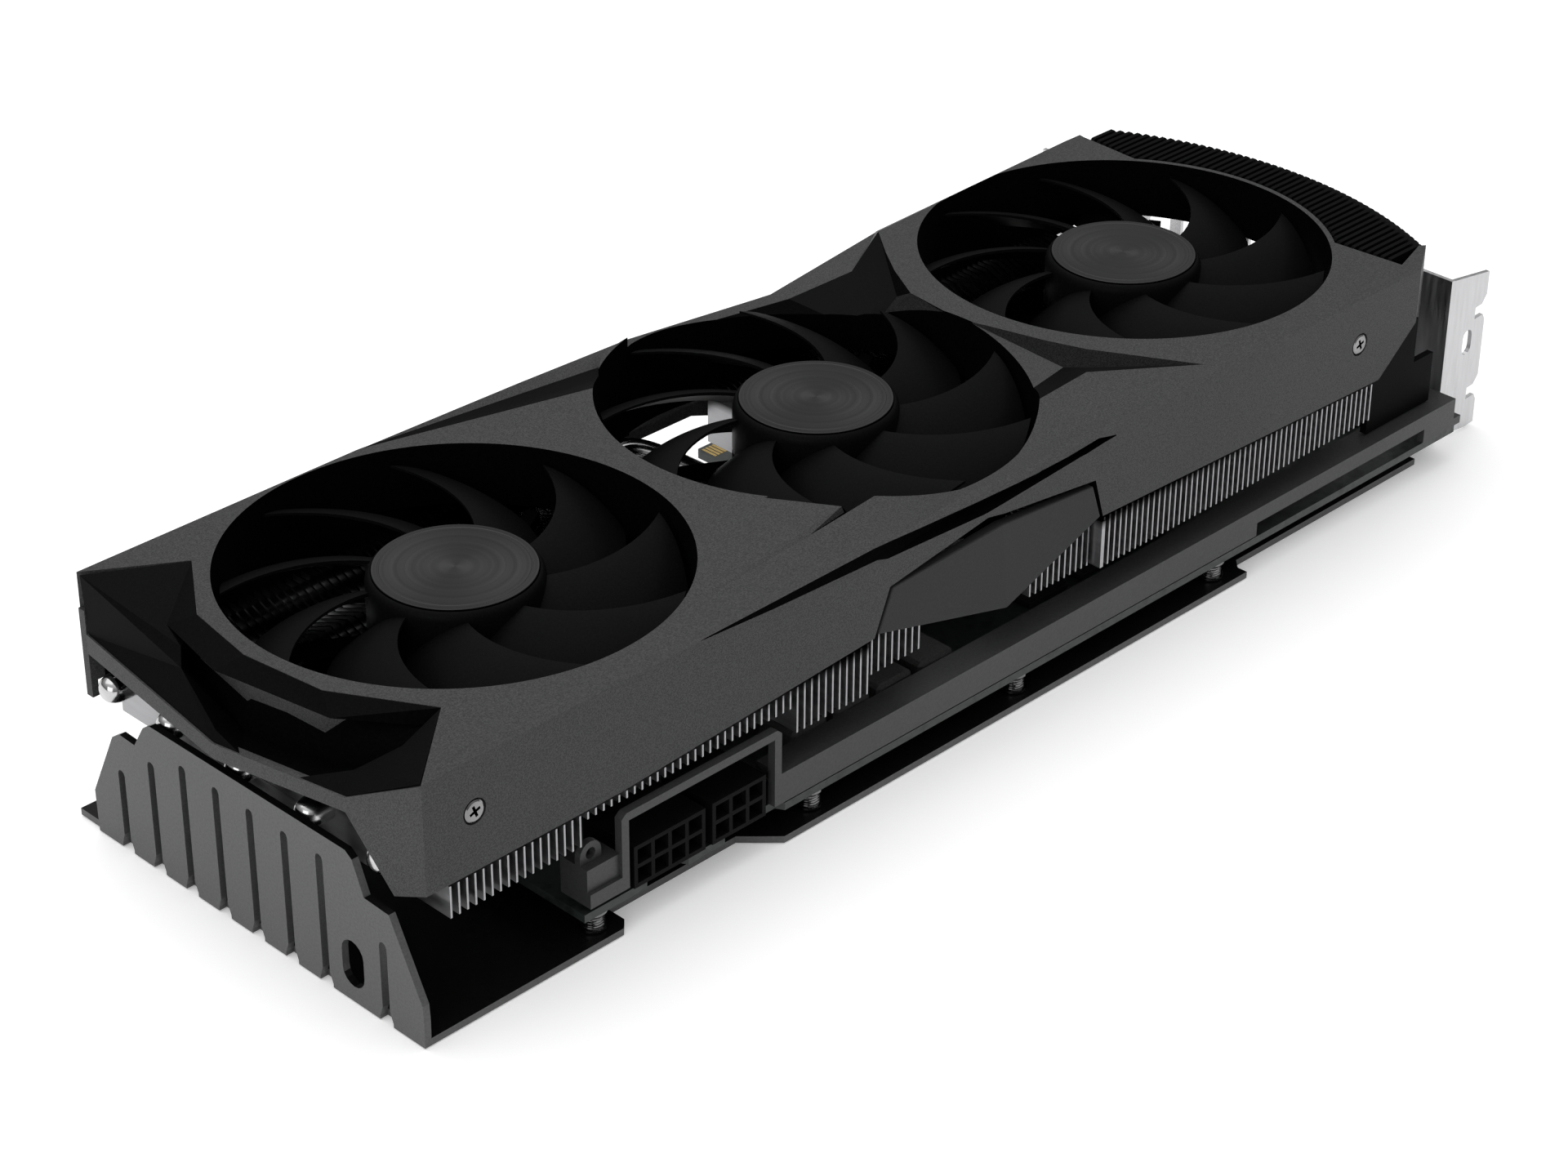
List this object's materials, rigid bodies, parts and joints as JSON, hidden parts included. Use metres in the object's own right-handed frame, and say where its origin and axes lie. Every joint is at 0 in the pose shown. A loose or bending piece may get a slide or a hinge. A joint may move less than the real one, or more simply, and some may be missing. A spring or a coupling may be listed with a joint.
{
  "type": "graphics card",
  "caption": "Graphics card with axial fans over a finned heatsink and heat pipes, with a slot bracket, backplate, edge connector and power sockets on one long side",
  "frame": {"origin": "on the backplate's outer face, under the axis of the middle fan", "axes": "+X runs along the card to its slot bracket, +Y to the edge connector, +Z out of the fans; the long side with the power sockets faces -Y"},
  "size_m": [0.3231, 0.127, 0.0535],
  "materials": {
    "shroud": "speckled charcoal, satin",
    "black": "black, satin",
    "fan": "black, satin",
    "disc": "dark, circular brushed",
    "steel": "plated, satin",
    "fins": "bare, satin",
    "pipe": "nickel plated",
    "base": "milled",
    "plate": "grey, satin",
    "board": "black solder mask",
    "chip": "moulded, matt",
    "silicon": "green laminate with polished die"
  },
  "bodies": {
    "card": {"shroud": "shroud", "tail_insert": "black", "end_cap": "black", "side_badge": "black", "bracket_stay": "black", "power_socket_8": "black", "power_socket_6": "black", "fan_1_motor": "black", "fan_2_motor": "black", "fan_3_motor": "black", "side_screw_tail": "steel", "side_screw_bracket": "steel", "slot_bracket": "steel", "board_spacer_1": "steel", "board_spacer_2": "steel", "board_spacer_3": "steel", "board_spacer_4": "steel", "video_socket_1": "steel", "video_socket_2": "steel", "video_socket_3": "steel", "video_socket_4": "steel", "fin_stack_tail": "fins", "fin_stack_bracket": "fins", "heat_pipe_1": "pipe", "heat_pipe_2": "pipe", "heat_pipe_3": "pipe", "heat_pipe_4": "pipe", "heat_pipe_5": "pipe", "base_block": "base", "side_rail": "plate", "backplate": "plate", "circuit_board": "board", "gpu_package": "silicon", "memory_chip_1": "chip", "memory_chip_2": "chip", "memory_chip_3": "chip", "memory_chip_4": "chip", "memory_chip_5": "chip", "memory_chip_6": "chip", "memory_chip_7": "chip", "memory_chip_8": "chip", "choke_1": "chip", "choke_2": "chip", "choke_3": "chip", "choke_4": "chip"},
    "fan_1": {"fan_1_rotor": "fan", "fan_1_disc": "disc", "fan_1_shaft": "steel"},
    "fan_2": {"fan_2_rotor": "fan", "fan_2_disc": "disc", "fan_2_shaft": "steel"},
    "fan_3": {"fan_3_rotor": "fan", "fan_3_disc": "disc", "fan_3_shaft": "steel"}
  },
  "joints": [
    {"name": "fan_1_spin", "type": "hinge", "parent": "card", "child": "fan_1", "pos_m": [-0.0963, 0, 0.046], "axis": [0, 0, 1], "continuous": true},
    {"name": "fan_2_spin", "type": "hinge", "parent": "card", "child": "fan_2", "pos_m": [0, 0, 0.046], "axis": [0, 0, 1], "continuous": true},
    {"name": "fan_3_spin", "type": "hinge", "parent": "card", "child": "fan_3", "pos_m": [0.0963, 0, 0.046], "axis": [0, 0, 1], "continuous": true}
  ]
}
